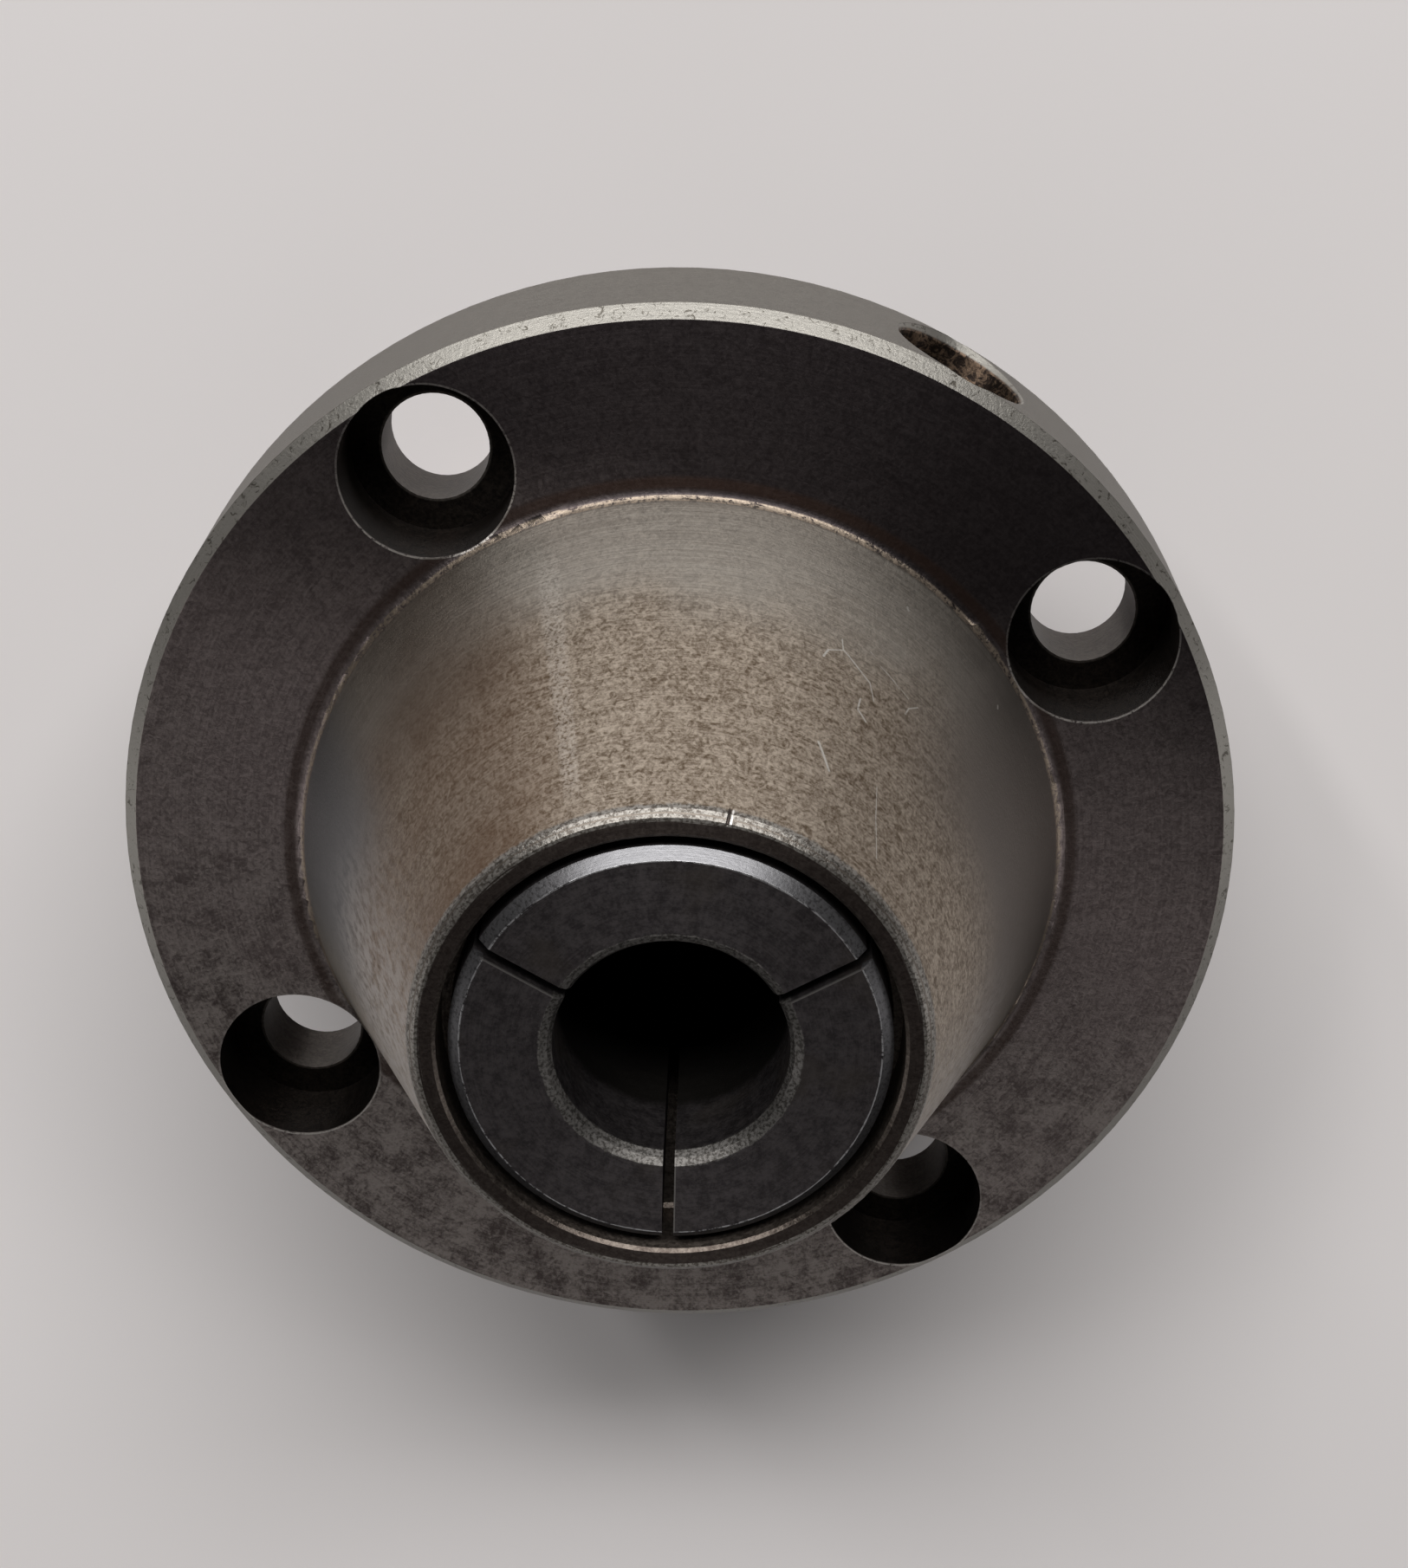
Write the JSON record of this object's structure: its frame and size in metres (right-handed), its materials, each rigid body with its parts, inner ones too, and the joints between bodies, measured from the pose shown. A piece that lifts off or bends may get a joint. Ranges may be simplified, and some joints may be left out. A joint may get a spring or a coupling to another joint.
{
  "type": "collet chuck holder",
  "caption": "Flanged conical chuck nose with a slit draw-in collet, counterbored flange holes and a rear spigot; grips round bar.",
  "frame": {"origin": "on the chuck's axis at the rear end of the spigot, on which the holder stands", "axes": "+Z along the chuck's axis towards the nose and the collet's face; the four screw holes lie on the diagonals between X and Y"},
  "size_m": [0.1067, 0.1066, 0.084],
  "materials": {
    "holder_steel": "aged dark steel, worn bright at the edges",
    "collet_steel": "dark hardened steel, ground",
    "screw_steel": "black oxide"
  },
  "bodies": {
    "holder": {"holder_body": "holder_steel", "key_screw": "screw_steel"},
    "collet": {"collet": "collet_steel"}
  },
  "joints": [
    {"name": "collet_slide", "type": "slide", "parent": "holder", "child": "collet", "axis": [0, 0, 1], "range_m": [0, 0.02]}
  ]
}
